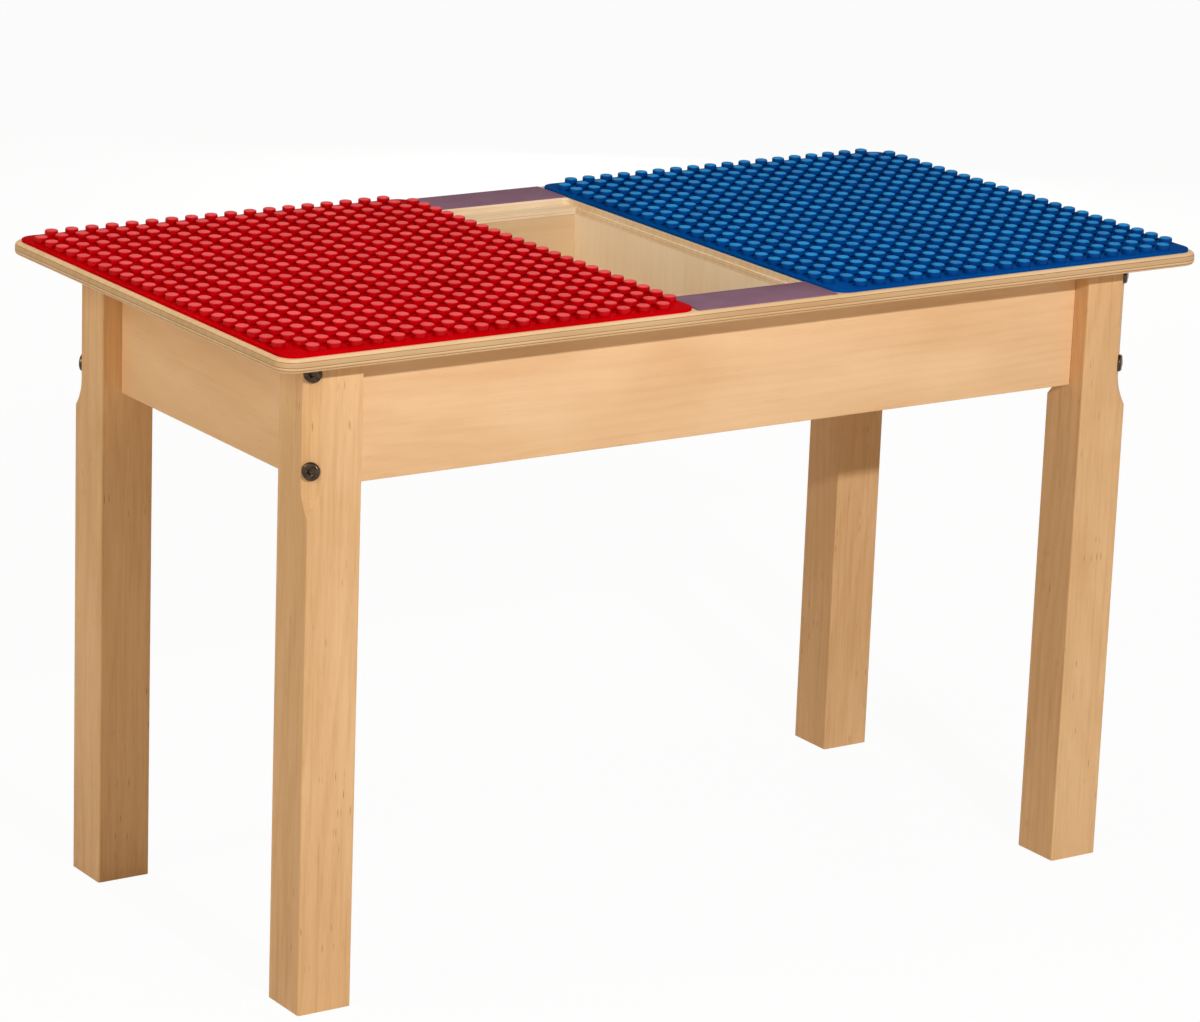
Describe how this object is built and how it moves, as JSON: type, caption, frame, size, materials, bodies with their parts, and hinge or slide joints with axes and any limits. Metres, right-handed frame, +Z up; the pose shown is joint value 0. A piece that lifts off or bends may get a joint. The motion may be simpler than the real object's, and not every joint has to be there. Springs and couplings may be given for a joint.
{
  "type": "play table",
  "caption": "Low wooden play table with two studded building plates on its top, an open storage well between them, square bolted legs and set-back aprons",
  "frame": {"origin": "floor level, at the middle of the table in plan", "axes": "+X along the table's length from the red plate to the blue plate, +Y from front to back, +Z up"},
  "size_m": [0.759, 0.389, 0.4685],
  "materials": {
    "birch_plywood": "satin lacquer, plies showing at the edge",
    "maple": "satin lacquer, grain along the board",
    "maple_leg": "satin lacquer, grain up the leg",
    "well_wood": "light satin lacquer",
    "inner_wood": "plain, planed",
    "red_plastic": "moulded gloss",
    "blue_plastic": "moulded gloss",
    "plum_laminate": "flat satin",
    "dark_bronze": "dark bronze, satin",
    "zinc_steel": "zinc plated"
  },
  "bodies": {
    "root": {"table_top": "birch_plywood", "red_stud_plate": "red_plastic", "blue_stud_plate": "blue_plastic", "front_trim_strip": "plum_laminate", "back_trim_strip": "plum_laminate", "front_apron": "maple", "back_apron": "maple", "left_apron": "maple", "right_apron": "maple", "front_left_leg": "maple_leg", "front_right_leg": "maple_leg", "back_left_leg": "maple_leg", "back_right_leg": "maple_leg", "front_left_brace": "inner_wood", "front_right_brace": "inner_wood", "back_left_brace": "inner_wood", "back_right_brace": "inner_wood", "well_left_wall": "well_wood", "well_right_wall": "well_wood", "well_floor": "well_wood", "front_left_cleat": "inner_wood", "front_right_cleat": "inner_wood", "back_left_cleat": "inner_wood", "back_right_cleat": "inner_wood", "leg_bolts": "dark_bronze", "leg_washers": "zinc_steel", "leg_nuts": "zinc_steel", "brace_screws": "zinc_steel", "top_screws": "zinc_steel", "cleat_screws": "zinc_steel", "well_floor_screws": "zinc_steel"}
  },
  "joints": []
}
